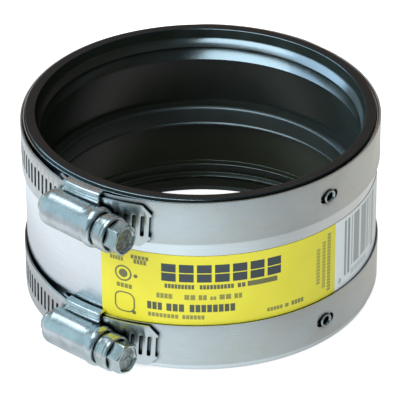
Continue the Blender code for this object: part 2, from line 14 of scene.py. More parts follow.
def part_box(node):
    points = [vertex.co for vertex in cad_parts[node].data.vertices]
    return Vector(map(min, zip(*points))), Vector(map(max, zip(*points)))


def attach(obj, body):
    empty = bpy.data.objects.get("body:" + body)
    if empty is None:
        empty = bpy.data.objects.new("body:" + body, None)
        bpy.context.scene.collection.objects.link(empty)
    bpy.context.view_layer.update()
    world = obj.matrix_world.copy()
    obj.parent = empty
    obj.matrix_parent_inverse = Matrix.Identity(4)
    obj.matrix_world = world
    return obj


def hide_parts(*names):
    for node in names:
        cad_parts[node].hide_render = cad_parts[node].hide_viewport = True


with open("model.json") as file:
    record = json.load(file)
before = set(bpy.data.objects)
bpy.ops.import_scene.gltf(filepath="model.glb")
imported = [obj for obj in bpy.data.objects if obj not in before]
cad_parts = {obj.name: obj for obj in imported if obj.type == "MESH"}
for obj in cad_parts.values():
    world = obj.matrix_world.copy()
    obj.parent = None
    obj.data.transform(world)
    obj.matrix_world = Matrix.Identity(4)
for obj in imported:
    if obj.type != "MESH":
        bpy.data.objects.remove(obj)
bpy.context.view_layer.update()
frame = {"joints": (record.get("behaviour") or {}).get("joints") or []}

mm = 0.001

# Sizes taken from the frame
sleeve_low, sleeve_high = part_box("gasket")
bore = Vector(((sleeve_low.x + sleeve_high.x) / 2, (sleeve_low.y + sleeve_high.y) / 2, 0))
sleeve_length = sleeve_high.z
sleeve_radius = (sleeve_high.x - sleeve_low.x) / 2

# Rubber sleeve
sleeve_wall = 2.8 * mm
rim_rounding = 0.25 * mm
outer_rounding = 0.3 * mm
toe_height = 0.7 * mm
toe_length = 1.0 * mm
rib_height = 1.35 * mm
ribs_from_end = 2.8 * mm
outer_rib_length = 2.4 * mm
inner_rib_length = 3.4 * mm
rib_back = 0.7 * mm
rib_power = 1.45
rib_steps = 10
groove_height = 0.15 * mm
stop_height = 2.8 * mm
stop_width = 6.6 * mm
stop_draft = 0.4 * mm
stop_below_middle = 0.6 * mm
stop_groove_up = 1.0 * mm
stop_groove_width = 0.9 * mm
stop_groove_depth = 0.45 * mm
stop_rounding = 0.9 * mm

# Segments of round forms, and how near corners are welded
sleeve_segments, screw_segments, eyelet_segments, slot_segments = 180, 72, 48, 40
spin_weld, loft_weld = 0.0005 * mm, 0.002 * mm

# Rolled shield
shield_thickness = 0.3 * mm
shield_clearance = 0.25 * mm
shield_from_floor, shield_from_top = 0.4 * mm, 1.0 * mm
seam_angle = 150.0
seam_overlap = 17.0 * mm
seam_clearance = 0.1 * mm
seam_ramp = 8.0 * mm
seam_blend = 0.5
shield_step = 2.0
shield_row = 3.5 * mm
band_lead, band_settled = 1.6, 0.6

# Clamp bands
band_width = 12.7 * mm
band_thickness = 0.6 * mm
band_clearance = 0.17 * mm
layer_clearance = 0.1 * mm
upper_band_from_end = 6.75 * mm
lower_band_from_end = 8.6 * mm
tongue_length = 3.4 * mm
tail_corner = 2.6 * mm
tail_lift = 0.35 * mm
band_settle = 15.0 * mm
strip_rise = 38.0 * mm
strip_step = 0.55 * mm
strip_step_share = 0.6
grip_margin = 1.0 * mm
head_sinks_within = 40.0
tail_sinks_from, tail_sinks_to = 210.0, 300.0
band_edge = 0.1 * mm
band_step = 1.5

# Perforation
slot_pitch = 2.35 * mm
slot_width = 1.1 * mm
slot_length = 6.4 * mm
slot_lean = 3.5
slot_corner = 0.42 * slot_width
slot_corner_steps = 4
slot_count = 31
first_slot_margin = 1.4 * mm

# Saddle
saddle_length = 11.9 * mm
saddle_thickness = 0.6 * mm
saddle_clearance = 0.2 * mm
saddle_side_play = 0.12 * mm
saddle_lip = 1.75 * mm
saddle_bend = 0.35 * mm
saddle_edge = 0.12 * mm
saddle_steps, saddle_bend_steps, saddle_nose_steps = 12, 8, 10

# Housing
housing_thickness = 0.65 * mm
barrel_bore = 9.3 * mm
barrel_behind = 8.3 * mm
barrel_ahead = 10.3 * mm
flange_play = 0.25 * mm
flange_fillet = 1.4 * mm
dome_length = 2.2 * mm
dome_depth = 1.1 * mm
mouth_length = 2.9 * mm
mouth_rise = 0.35 * mm
barrel_edge = 0.25 * mm
flange_run_out = 0.3 * mm
steepest_foot = -84.0
fillet_steps, arch_steps, flange_steps, mouth_steps = 8, 20, 12, 12
dome_shares = (0.08, 0.18, 0.32, 0.5, 0.7)

# Worm screw
thread_diameter = 7.2 * mm
thread_depth = 0.9 * mm
thread_crest = 0.5 * mm
thread_flank = 0.4 * mm
thread_sink = 0.25 * mm
thread_fade_turns, thread_least = 0.5, 0.05
thread_turn_steps = 36
thread_start = -7.9 * mm
thread_turns = 5.9
screw_tip_diameter = 5.8 * mm
screw_tip_reach = 2.3 * mm
journal_clearance = 0.3 * mm
journal_length = 2.2 * mm
screw_edge = 0.35 * mm
collar_diameter = 10.2 * mm
collar_thickness = 3.5 * mm
collar_gap = 1.3 * mm
hex_across_flats = 7.94 * mm
collar_undercut = 0.4 * mm
collar_groove = 0.12 * mm
hex_length = 4.1 * mm
hex_chamfer = 0.5 * mm
hex_points = 72
dish_rim = 0.5 * mm
dish_depth = 1.0 * mm
dish_corner = 1.07
dish_shape = ((0.0, 1.0), (0.15, 0.985), (0.5, 0.96), (0.76, 0.91), (0.9, 0.84), (1.0, 0.7))
hex_edge = 0.08 * mm

# Eyelets
eyelet_flange = 3.9 * mm
eyelet_hole = 2.2 * mm
eyelet_shank = 2.9 * mm
eyelet_crown = 0.45 * mm
eyelet_clinch = 0.35 * mm
eyelet_edge = 0.1 * mm
eyelet_roll = ((0.35 * mm, 0.08 * mm), (0.1 * mm, 0.3 * mm), (0.0 * mm, 0.45 * mm))
eyelet_slot_length = 6.4 * mm
eyelet_slot_height = 3.1 * mm
eyelet_clearance = 0.1 * mm

# Label
label_width = 102.0 * mm
label_below_end = 17.25 * mm
label_tuck = 1.3 * mm
label_thickness = 0.06 * mm
label_clearance = 0.06 * mm
label_left_angle = -33.2
label_corner = 2.5 * mm
label_corner_steps, label_steps, label_plain_margin = 6, 60, 4.0

# Radii that follow from the stack of sleeve, shield and clamp
socket_radius = sleeve_radius - sleeve_wall
shield_inner = sleeve_radius + shield_clearance
shield_outer = shield_inner + shield_thickness
band_inner = shield_outer + band_clearance
saddle_inner = shield_outer + saddle_clearance
head_inner = saddle_inner + saddle_thickness + layer_clearance
tail_inner = head_inner + band_thickness + layer_clearance
tail_outer = tail_inner + band_thickness
flange_inner = tail_outer + layer_clearance
flange_outer = flange_inner + housing_thickness
lip_inner = flange_outer + layer_clearance
lip_outer = lip_inner + saddle_thickness

# Each clamp: height of its band, how far its parts sit lower, and where its pieces lie
clamps = {
    "upper": {
        "height": sleeve_length - upper_band_from_end,
        "head_drop": 0.6 * mm, "tail_drop": 1.3 * mm, "back_drop": 0.5 * mm, "eyelet_drop": 0.0 * mm,
        "tail_length": 13.7 * mm, "eyelet_angle": 43.5, "hex_turn": -8.0,
    },
    "lower": {
        "height": lower_band_from_end,
        "head_drop": 0.45 * mm, "tail_drop": 0.7 * mm, "back_drop": 0.0 * mm, "eyelet_drop": 0.7 * mm,
        "tail_length": 15.7 * mm, "eyelet_angle": 42.8, "hex_turn": 20.0,
    },
}
# The joint lies on the screw's axis, level with the saddle's centre
for joint in frame["joints"]:
    clamp = clamps[joint["child"].split("_")[0]]
    place, direction = Vector(joint["pos_m"]) - bore, Vector(joint["axis"])
    clamp["axis_place"] = place
    clamp["screw_angle"] = degrees(atan2(direction.y, direction.x))
    clamp["saddle_ahead"] = place.dot(direction)
    clamp["screw_distance"] = hypot(*(place - clamp["saddle_ahead"] * direction).xy)
layer_offset = max(clamp["tail_drop"] - clamp["head_drop"] for clamp in clamps.values())
saddle_half_width = (band_width + layer_offset) / 2 + saddle_side_play + saddle_thickness


# Mesh helpers
def make_piece(name, shape, material=None, sharp_angle=32):
    """Turn a bmesh built about the bore axis into an object that stands there."""
    bmesh.ops.recalc_face_normals(shape, faces=shape.faces)
    mesh = bpy.data.meshes.new(name)
    shape.to_mesh(mesh)
    shape.free()
    made = bpy.data.objects.new(name, mesh)
    bpy.context.scene.collection.objects.link(made)
    made.location = bore
    crisp(made, sharp_angle)
    if material:
        mesh.materials.append(material)
    return made


def dress(made, node, body="coupling"):
    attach(made, body)
    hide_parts(node)
    return made


def apply_modifiers(made):
    """Bake the modifiers into the mesh and drop the tools that they used."""
    bpy.context.view_layer.update()
    graph = bpy.context.evaluated_depsgraph_get()
    baked = bpy.data.meshes.new_from_object(made.evaluated_get(graph))
    tools = [step.object for step in made.modifiers if step.type == "BOOLEAN"]
    made.modifiers.clear()
    made.data = baked
    for tool in tools:
        bpy.data.objects.remove(tool, do_unlink=True)


def crisp(made, angle=40):
    """Smooth shading, but crisp where faces meet at more than this angle."""
    made.data.shade_smooth()
    made.data.set_sharp_from_angle(angle=radians(angle))


def round_edges(made, width, angle=50):
    """Round the edges where faces meet at more than this angle."""
    step = made.modifiers.new("edges", "BEVEL")
    step.width = width
    step.segments = 2
    step.limit_method = "ANGLE"
    step.angle_limit = radians(angle)
    apply_modifiers(made)


def around(angle, radius, height):
    turn = radians(angle)
    return Vector((radius * sin(turn), -radius * cos(turn), height))


def ease(value, start, end):
    share = min(max((value - start) / (end - start), 0.0), 1.0)
    return share * share * (3 - 2 * share)


def arc_angle(length, radius):
    return degrees(length / radius)


def turned(profile, segments, axis="Z"):
    """Spin a closed profile of (radius, position) points about the axis."""
    shape = bmesh.new()
    if axis == "Z":
        corners = [shape.verts.new((radius, 0, position)) for radius, position in profile]
        direction = (0, 0, 1)
    else:
        corners = [shape.verts.new((position, 0, radius)) for radius, position in profile]
        direction = (1, 0, 0)
    edges = [shape.edges.new((corners[i - 1], corners[i])) for i in range(len(corners))]
    bmesh.ops.spin(
        shape, geom=corners + edges, cent=(0, 0, 0), axis=direction,
        angle=tau, steps=segments, use_merge=True,
    )
    bmesh.ops.remove_doubles(shape, verts=shape.verts, dist=spin_weld)
    bmesh.ops.dissolve_degenerate(shape, edges=shape.edges, dist=spin_weld)
    return shape


def lofted(rings):
    """Skin closed rings of points, one after the other, and cap both ends."""
    shape = bmesh.new()
    rows = [[shape.verts.new(point) for point in ring] for ring in rings]
    count = len(rows[0])
    for before, after in zip(rows, rows[1:]):
        for i in range(count):
            shape.faces.new((before[i - 1], before[i], after[i], after[i - 1]))
    shape.faces.new(rows[0])
    shape.faces.new(rows[-1])
    bmesh.ops.remove_doubles(shape, verts=shape.verts, dist=loft_weld)
    return shape


def round_outline(width, height):
    """Outline of a slot with round ends."""
    reach = (width - height) / 2
    outline = []
    for i in range(slot_segments):
        turn = tau * (i + 0.5) / slot_segments
        side = copysign(reach, cos(turn))
        outline.append((side + height / 2 * cos(turn), height / 2 * sin(turn)))
    return outline


def cut_at_eyelet(sheet, clamp, width, height, inner):
    """Cut a slot with round ends through the sheet, outwards from the inner radius."""
    turn = Matrix.Rotation(radians(clamp["eyelet_angle"]), 3, "Z")
    level = clamp["height"] - clamp["eyelet_drop"]
    rings = []
    for radius in (inner, lip_outer):
        rings.append([turn @ Vector((along, -radius, level + up))
                      for along, up in round_outline(width, height)])
    step = sheet.modifiers.new("cut", "BOOLEAN")
    step.operation = "DIFFERENCE"
    step.solver = "EXACT"
    step.object = make_piece("cutter", lofted(rings))


def arc(centre, radius, start, end, steps):
    """Points of an arc in a (radius, position) profile."""
    points = []
    for i in range(steps + 1):
        turn = radians(start + (end - start) * i / steps)
        points.append((centre[0] + radius * cos(turn), centre[1] + radius * sin(turn)))
    return points


# Sheets wound about the bore axis
def strip(columns, radius_at, height_at):
    """Sheet made column by column, open between the columns that are marked so."""
    shape = bmesh.new()
    lines = []
    for angle, half, hole, _, lean in columns:
        radius, height, slope = radius_at(angle), height_at(angle), tan(radians(lean))
        line = []
        for side in ((-half,), (half,)) if hole is None else ((-half, -hole), (hole, half)):
            line.append([shape.verts.new(around(
                angle + degrees(up * slope / radius), radius, height + up)) for up in side])
        lines.append(line)
    for (_, _, _, is_open, _), (low_a, high_a), (low_b, high_b) in zip(columns, lines, lines[1:]):
        if is_open:
            shape.faces.new(low_a + low_b[::-1])
            shape.faces.new(high_a + high_b[::-1])
        else:
            shape.faces.new(low_a + high_a + (low_b + high_b)[::-1])
    return shape


def add_column(columns, angle, half, hole=None, is_open=False, lean=0.0):
    """Add a column: its half height, its hole's half height, and whether it is open after it."""
    columns.append((angle, half, hole, is_open, lean))


def thicken(sheet, thickness):
    shape = bmesh.new()
    shape.from_mesh(sheet.data)
    for face in shape.faces:
        face.normal_update()
        centre = face.calc_center_median()
        if face.normal.x * centre.x + face.normal.y * centre.y < 0:
            face.normal_flip()
    shape.to_mesh(sheet.data)
    shape.free()
    step = sheet.modifiers.new("thickness", "SOLIDIFY")
    step.thickness = thickness
    step.offset = 1.0
    step.use_even_offset = True


def cut_rows(sheet, heights):
    """Add edge loops at these heights, so that a hole doesn't bend the shading far from it."""
    shape = bmesh.new()
    shape.from_mesh(sheet.data)
    for height in heights:
        geometry = shape.verts[:] + shape.edges[:] + shape.faces[:]
        bmesh.ops.bisect_plane(shape, geom=geometry, plane_co=(0, 0, height), plane_no=(0, 0, 1))
    shape.to_mesh(sheet.data)
    shape.free()


# Material helpers
class Nodes:
    """Short calls that add nodes to one tree and link them."""

    def __init__(self, tree):
        self.tree = tree

    def add(self, kind, *sources, **settings):
        """New node of this kind, its first inputs fed by the sources."""
        node = self.tree.nodes.new(f"ShaderNode{kind}")
        for key, value in settings.items():
            setattr(node, key, value)
        for source, target in zip(sources, node.inputs):
            self.link(source, target)
        return node

    def link(self, source, target):
        """Link a node's output to the target, or give the target a plain value."""
        if hasattr(source, "links"):
            self.tree.links.new(source, target)
        else:
            target.default_value = source

    def math(self, operation, *values):
        return self.add("Math", *values, operation=operation).outputs[0]

    def times(self, first, second):
        return self.math("MULTIPLY", first, second)

    def ramp(self, value, low, high, start=0.0, end=1.0):
        """From low to high while the value goes from start to end."""
        return self.add("MapRange", value, start, end, low, high).outputs[0]


class Shader(Nodes):
    """Principled material, and the nodes that feed it."""

    def __init__(self, name, **values):
        self.material = bpy.data.materials.new(name)
        self.material.use_nodes = True
        super().__init__(self.material.node_tree)
        self.principled = self.tree.nodes["Principled BSDF"]
        for key, value in values.items():
            self.feed(key.replace("_", " "), value)
        self.place = self.add("TexCoord").outputs["Object"]

    def feed(self, name, source):
        self.link(source, self.principled.inputs[name])

    def vector(self, operation, *values):
        node = self.add("VectorMath", *values, operation=operation)
        return node.outputs["Value" if operation == "LENGTH" else "Vector"]

    def split(self, source):
        return self.add("SeparateXYZ", source).outputs

    def join(self, x, y, z):
        return self.add("CombineXYZ", x, y, z).outputs[0]

    def noise(self, scale, detail=2.0, roughness=0.5, place=None):
        node = self.add("TexNoise", self.place if place is None else place)
        for key, value in (("Scale", scale), ("Detail", detail), ("Roughness", roughness)):
            node.inputs[key].default_value = value
        return node.outputs["Fac"]

    def mix(self, share, first, second):
        node = self.add("Mix", share, data_type="RGBA")
        self.link(first, node.inputs["A"])
        self.link(second, node.inputs["B"])
        return node.outputs["Result"]

    def azimuth(self):
        """Angle from the front towards the right, in radians."""
        x, y, _ = self.split(self.place)
        return self.math("ARCTAN2", x, self.times(y, -1.0))

    def metal_with_gap_shade(self, metal, distance, start, end):
        """Metal as the base colour, with painted shade deep in gaps."""
        node = self.add("AmbientOcclusion", samples=gap_samples)
        node.inputs["Distance"].default_value = distance
        openness = self.ramp(node.outputs["AO"], 0.0, 1.0, start, end)
        self.feed("Base Color", self.mix(openness, gap_shade_colour, metal))

    def bump(self, *layers):
        """Raise the surface by each layer's noise times its depth in metres."""
        height = 0.0
        for noise, depth in layers:
            height = self.math("MULTIPLY_ADD", noise, depth, height)
        node = self.add("Bump", 1.0, 1.0)
        self.link(height, node.inputs["Height"])
        self.feed("Normal", node.outputs["Normal"])


def rgb(red, green, blue):
    """Linear colour from the 0-255 values seen on a screen."""
    linear = [((value / 255 + 0.055) / 1.055) ** 2.4 if value > 10 else value / 255 / 12.92
              for value in (red, green, blue)]
    return (*linear, 1.0)


def scaled(colour, share):
    return [min(channel * share, 1.0) for channel in colour[:3]] + [1.0]


# Painted shade: metal darkens in gaps, where little light gets in: how far across a gap counts, and how it
# sets in
sheet_gap_shade, band_gap_shade = (1.5 * mm, 0.25, 0.85), (1.5 * mm, 0.62, 0.94)
housing_gap_shade, part_gap_shade = (1.2 * mm, -0.2, 0.55), (1.2 * mm, 0.2, 0.75)
hole_gap_shade = (2.4 * mm, 0.35, 0.95)
gap_samples = 6
# Colour of the painted shade deep in gaps
gap_shade_colour = rgb(34, 50, 58)

# Finishes: what stretches the noise along the turn, what tints it, and how deep it goes
grain_stretch, patch_stretch = (0.03, 0.03, 1.0), (0.5, 0.5, 1.0)
tarnish_tint = (0.95, 0.88, 0.78, 1.0)
sheet_waves, plating_waves, plating_dents = 0.05 * mm, 0.07 * mm, 0.006 * mm
stain_dark, stain_light = rgb(84, 88, 84), rgb(150, 158, 156)
stain_reach = (3.0 * mm, 3.4 * mm)
# The last rubber colour is painted shade for the flat end face, which the light from above falls on fully
rubber_dark, rubber_light, top_shade = rgb(14, 17, 13), rgb(22, 25, 19), rgb(5, 9, 10)
# Lighter, greener rubber colour low down in the sleeve, and where it fades
low_tint_colour, low_tint_fade = rgb(29, 32, 21), (0.35, 0.5)
rubber_grain, mould_marks = 0.012 * mm, 0.01 * mm


def brushed_metal(name, colour, roughness, grain, grain_depth, gap, tarnish):
    """Sheet metal with fine lengthwise grain, warm patches, faint blotches and slight waves."""
    look = Shader(name, Metallic=1.0)
    streaks = look.noise(grain, 3.0, 0.7, look.vector("MULTIPLY", look.place, grain_stretch))
    patches = look.noise(160.0, 4.0, 0.65, look.vector("MULTIPLY", look.place, patch_stretch))
    streaked = look.ramp(streaks, 0.0, 1.0, 0.3, 0.7)
    metal = look.mix(streaked, scaled(colour, 0.93), scaled(colour, 1.05))
    warm = [channel * share for channel, share in zip(colour, tarnish_tint)]
    # The base colour takes painted shade deep in gaps
    look.metal_with_gap_shade(look.mix(look.ramp(patches, 0.0, tarnish, 0.45, 0.7), metal, warm), *gap)
    blotches = look.ramp(look.noise(90.0, 3.0, 0.55), roughness * 0.85, roughness * 1.2, 0.3, 0.7)
    look.feed("Roughness", look.math("ADD", blotches, look.ramp(streaks, -0.03, 0.03, 0.3, 0.7)))
    look.bump((streaks, grain_depth), (look.noise(45.0, 1.0, 0.4), sheet_waves))
    return look.material


def plated_metal(name, colour, roughness, gap, stained=None):
    """Bright plated steel, slightly uneven, with darker film in places, and a stain if asked for."""
    look = Shader(name, Metallic=1.0)
    film = look.noise(260.0, 2.0, 0.5)
    metal = look.mix(look.ramp(film, 0.0, 1.0, 0.35, 0.6), scaled(colour, 0.82), colour)
    if stained:
        spots = look.ramp(look.noise(900.0, 4.0, 0.7), 0.0, 1.0, 0.35, 0.65)
        away = look.vector("LENGTH", look.vector("SUBTRACT", look.place, stained))
        stain = look.mix(spots, stain_dark, stain_light)
        metal = look.mix(look.ramp(away, 1.0, 0.0, *stain_reach), metal, stain)
    # The base colour takes painted shade deep in gaps
    look.metal_with_gap_shade(metal, *gap)
    cloud = look.noise(700.0, 3.0, 0.6)
    look.feed("Roughness", look.ramp(cloud, roughness * 0.88, roughness * 1.15, 0.3, 0.7))
    look.bump((film, plating_dents), (look.noise(130.0, 1.0, 0.5), plating_waves))
    return look.material


def sleeve_rubber():
    """Moulded black rubber: satin, with a fine grain and marks from its mould, lighter and greener low
    down.
    """
    look = Shader("sleeve_rubber", Metallic=0.0, IOR=1.38)
    x, y, z = look.split(look.place)
    radius = look.vector("LENGTH", look.join(x, y, 0.0))
    cloud = look.noise(110.0, 3.0, 0.6)
    # Lighter, greener colour towards the bottom
    low_tint = look.ramp(z, 1.0, 0.0, *(share * sleeve_length for share in low_tint_fade))
    moulded = look.mix(low_tint, look.mix(cloud, rubber_dark, rubber_light), low_tint_colour)
    # Painted shade: the flat end face is darker, against the light that falls on it from above
    shaded_top = look.math("GREATER_THAN", z, sleeve_length - outer_rounding)
    look.feed("Base Color", look.mix(shaded_top, moulded, top_shade))
    on_stop = look.math("LESS_THAN", radius, socket_radius - (rib_height + stop_height) / 2)
    satin = look.ramp(cloud, 0.18, 0.26, 0.3, 0.7)
    look.feed("Roughness", look.math("MULTIPLY_ADD", on_stop, 0.2, satin))
    rings = look.noise(2500.0, 2.0, 0.5, look.join(radius, z, 0.0))
    look.bump((look.noise(2600.0, 3.0, 0.65), rubber_grain), (rings, mould_marks))
    return look.material


# Rubber sleeve
def ribs():
    """Sealing ribs of one socket, as (height, distance from the end): ramp, crest and drop."""
    points = [(0.0, ribs_from_end)]
    start, low = ribs_from_end, 0.0
    for length, foot in ((outer_rib_length, groove_height), (inner_rib_length, 0.0)):
        for step in range(1, rib_steps + 1):
            share = step / rib_steps
            points.append((low + (rib_height - low) * share ** rib_power, start + share * length))
        for step in range(1, rib_steps + 1):
            share = step / rib_steps
            height = foot + (rib_height - foot) * (1 + cos(pi * share)) / 2
            points.append((height, start + length + share * rib_back))
        start, low = start + length + rib_back, foot
    return points


def stop_ring():
    middle = sleeve_length / 2 - stop_below_middle
    radius, edge = socket_radius - stop_height, stop_rounding
    low, high = middle - stop_width / 2, middle + stop_width / 2
    groove = low + stop_groove_up
    points = [(socket_radius, low - stop_draft)]
    points += arc((radius + edge, low + edge), edge, 250, 180, 4)
    points += [(radius, groove - stop_groove_width / 2)]
    points += [(radius + stop_groove_depth, groove + stop_groove_width / 3)]
    points += [(radius, groove + stop_groove_width / 2)]
    points += arc((radius + edge, high - edge), edge, 180, 110, 4)
    return points + [(socket_radius, high + stop_draft)]


def sleeve_profile():
    end = sleeve_length
    edge, round_edge = rim_rounding, outer_rounding
    toe_radius = socket_radius - toe_height
    inside = arc((toe_radius + edge, edge), edge, 270, 180, 4) + [(socket_radius, toe_length)]
    inside += [(socket_radius - height, place) for height, place in ribs()]
    inside += stop_ring()
    inside += [(socket_radius - height, end - place) for height, place in ribs()[::-1]]
    inside += arc((socket_radius + edge, end - edge), edge, 180, 90, 4)
    outside = arc((sleeve_radius - round_edge, end - round_edge), round_edge, 90, 0, 6)
    outside += arc((sleeve_radius - round_edge, round_edge), round_edge, 0, -90, 6)
    return inside + outside


def build_sleeve(material):
    sleeve = make_piece("sleeve", turned(sleeve_profile(), sleeve_segments), material)
    return dress(sleeve, "gasket")


# Rolled shield
def seam_step(angle):
    inner_end = seam_angle + 360
    ramp = arc_angle(seam_ramp, shield_inner)
    return (shield_thickness + seam_clearance) * ease(angle, inner_end - ramp, inner_end - seam_blend)


def build_shield(material):
    overlap = arc_angle(seam_overlap, shield_inner)
    half = (sleeve_length - shield_from_top - shield_from_floor) / 2
    steps = round((360 + overlap) / shield_step)
    columns = []
    for i in range(steps + 1):
        add_column(columns, seam_angle + (360 + overlap) * i / steps, half)
    sheet = strip(
        columns, lambda a: shield_inner + seam_step(a), lambda a: shield_from_floor + half)
    shield = make_piece("rolled_shield", sheet, material)
    cut_rows(shield, [
        clamp["height"] + offset for clamp in clamps.values() for offset in (-shield_row, shield_row)])
    thicken(shield, shield_thickness)
    hole = eyelet_shank + 2 * eyelet_clearance
    for clamp in clamps.values():
        cut_at_eyelet(shield, clamp, hole, hole, sleeve_radius - sleeve_wall / 2)
    apply_modifiers(shield)
    crisp(shield)
    dress(shield, "shield")


# Clamp bands
def clamp_angles(clamp):
    """Angles of the saddle's ends, and of the band's head and tail ends."""
    centre = clamp["screw_angle"] + arc_angle(clamp["saddle_ahead"], head_inner)
    half = arc_angle(saddle_length / 2, head_inner)
    head_end = centre - half - arc_angle(tongue_length, head_inner)
    tail_end = centre + half + arc_angle(clamp["tail_length"], head_inner)
    return centre - half, centre + half, head_end, tail_end


def head_radius(clamp, angle):
    left, right, head_end, _ = clamp_angles(clamp)
    plateau = head_inner - band_inner
    margin = arc_angle(grip_margin, head_inner)
    rise = ease(angle, head_end - margin, left - margin)
    settle = 1 - ease(angle, right + margin, right + margin + arc_angle(band_settle, head_inner))
    over_seam = shield_thickness + seam_clearance
    ramp = arc_angle(seam_ramp, shield_inner)
    overlap = arc_angle(seam_overlap, shield_inner)
    bump = ease(angle, seam_angle - band_lead * ramp, seam_angle - band_settled * ramp)
    lap_end = seam_angle + overlap
    bump *= 1 - ease(angle, lap_end + band_settled * ramp, lap_end + band_lead * ramp)
    return band_inner + plateau * min(rise, settle) + over_seam * bump


def band_radius(clamp, angle):
    left, right, _, tail_end = clamp_angles(clamp)
    margin = arc_angle(grip_margin, head_inner)
    rise = arc_angle(strip_rise, head_inner)
    start = left + 360 - margin - rise
    if angle < start:
        return head_radius(clamp, angle)
    if angle < right + 360:
        middle = start + rise * strip_step_share
        level = strip_step * ease(angle, start, middle)
        last = tail_inner - band_inner - strip_step
        return band_inner + level + last * ease(angle, middle, left + 360 - margin)
    lift = tail_lift * ease(angle, right + 360, tail_end + 360)
    return head_radius(clamp, angle - 360) + band_thickness + layer_clearance + lift


def band_height(clamp, angle):
    _, right, _, _ = clamp_angles(clamp)
    head = clamp["head_drop"] * (1 - ease(angle, right, right + head_sinks_within))
    tail = clamp["tail_drop"] * ease(angle, tail_sinks_from, tail_sinks_to)
    back = clamp["back_drop"] * (1 - cos(radians(angle))) / 2
    return clamp["height"] - back - (head if angle < 180 else tail)


def band_columns(clamp):
    _, _, head_end, tail_end = clamp_angles(clamp)
    half = band_width / 2
    end = tail_end + 360
    pitch = arc_angle(slot_pitch, tail_inner)
    first_slot = end - slot_count * pitch
    corner, rounding = slot_corner, slot_corner_steps

    def half_at(angle):
        return min(half, half - tail_corner + radians(end - angle) * tail_inner)

    def edge_of_slot(share):
        """Half height of the slot at a share of its half width from its middle."""
        into = max(abs(share) * slot_width / 2 - (slot_width / 2 - corner), 0.0)
        return slot_length / 2 - corner + sqrt(max(corner ** 2 - into ** 2, 0.0))

    columns = []
    plain_end = first_slot - arc_angle(first_slot_margin, tail_inner)
    steps = round((plain_end - head_end) / band_step)
    for i in range(steps + 1):
        angle = head_end + (plain_end - head_end) * i / steps
        add_column(columns, angle, half, lean=slot_lean if i == steps else 0.0)
    for index in range(slot_count):
        for i in range(-rounding, rounding + 1):
            share = sin(pi / 2 * i / rounding)
            angle = first_slot + index * pitch + arc_angle(share * slot_width / 2, tail_inner)
            add_column(columns, angle, half_at(angle), edge_of_slot(share), i < rounding, slot_lean)
    for i in range(-rounding, 1):
        share = sin(pi / 2 * i / rounding)
        angle = end + arc_angle(share * slot_width / 2, tail_inner)
        add_column(columns, angle, half_at(angle), edge_of_slot(share), i < 0, slot_lean)
    return columns


def build_band(name, clamp, material):
    sheet = strip(
        band_columns(clamp), lambda a: band_radius(clamp, a), lambda a: band_height(clamp, a))
    band = make_piece(f"{name}_clamp_band", sheet, material)
    thicken(band, band_thickness)
    cut_at_eyelet(band, clamp, eyelet_slot_length, eyelet_slot_height, shield_inner)
    apply_modifiers(band)
    round_edges(band, band_edge)
    crisp(band)
    dress(band, f"{name}_band")


# Saddle under the band, with its lips folded over the housing's flanges
def saddle_loop():
    """Closed loop of (radius, height) points round the folded sheet."""
    corner_outer = saddle_bend + saddle_thickness
    wall = saddle_half_width
    outer, inner = [], []
    for radius, height, start in (
        (saddle_inner + corner_outer, wall - corner_outer, -90),
        (lip_outer - corner_outer, wall - corner_outer, 0),
    ):
        for step in range(saddle_bend_steps + 1):
            turn = radians(start + 90 * step / saddle_bend_steps)
            outer.append((radius + corner_outer * sin(turn), height + corner_outer * cos(turn)))
            inner.append((radius + saddle_bend * sin(turn), height + saddle_bend * cos(turn)))
    nose = saddle_thickness / 2
    outer += arc((lip_inner + nose, wall - saddle_lip + nose), nose, 0, -180, saddle_nose_steps)
    mirrored_outer = [(radius, -height) for radius, height in outer[::-1]]
    mirrored_inner = [(radius, -height) for radius, height in inner]
    return mirrored_outer + outer + inner[::-1] + mirrored_inner


def build_saddle(name, clamp, material):
    left, right, _, _ = clamp_angles(clamp)
    rings = []
    for i in range(saddle_steps + 1):
        angle = left + (right - left) * i / saddle_steps
        rings.append([around(angle, radius, clamp["axis_place"].z + up) for radius, up in saddle_loop()])
    saddle = make_piece(f"{name}_clamp_saddle", lofted(rings), material)
    round_edges(saddle, saddle_edge)
    crisp(saddle)
    dress(saddle, f"{name}_saddle")


# Housing, pressed from one sheet: an arch over the screw and a flange on each side
def barrel_swell(along):
    """How far the arch stands out or in there: it closes in behind and swells at its mouth."""
    into_dome = min((along + barrel_behind) / dome_length, 1.0)
    dome = dome_depth * (1 - sqrt(1 - (1 - into_dome) ** 2))
    into_mouth = max((along - barrel_ahead + mouth_length) / mouth_length, 0.0)
    return mouth_rise * sin(pi * into_mouth) - dome


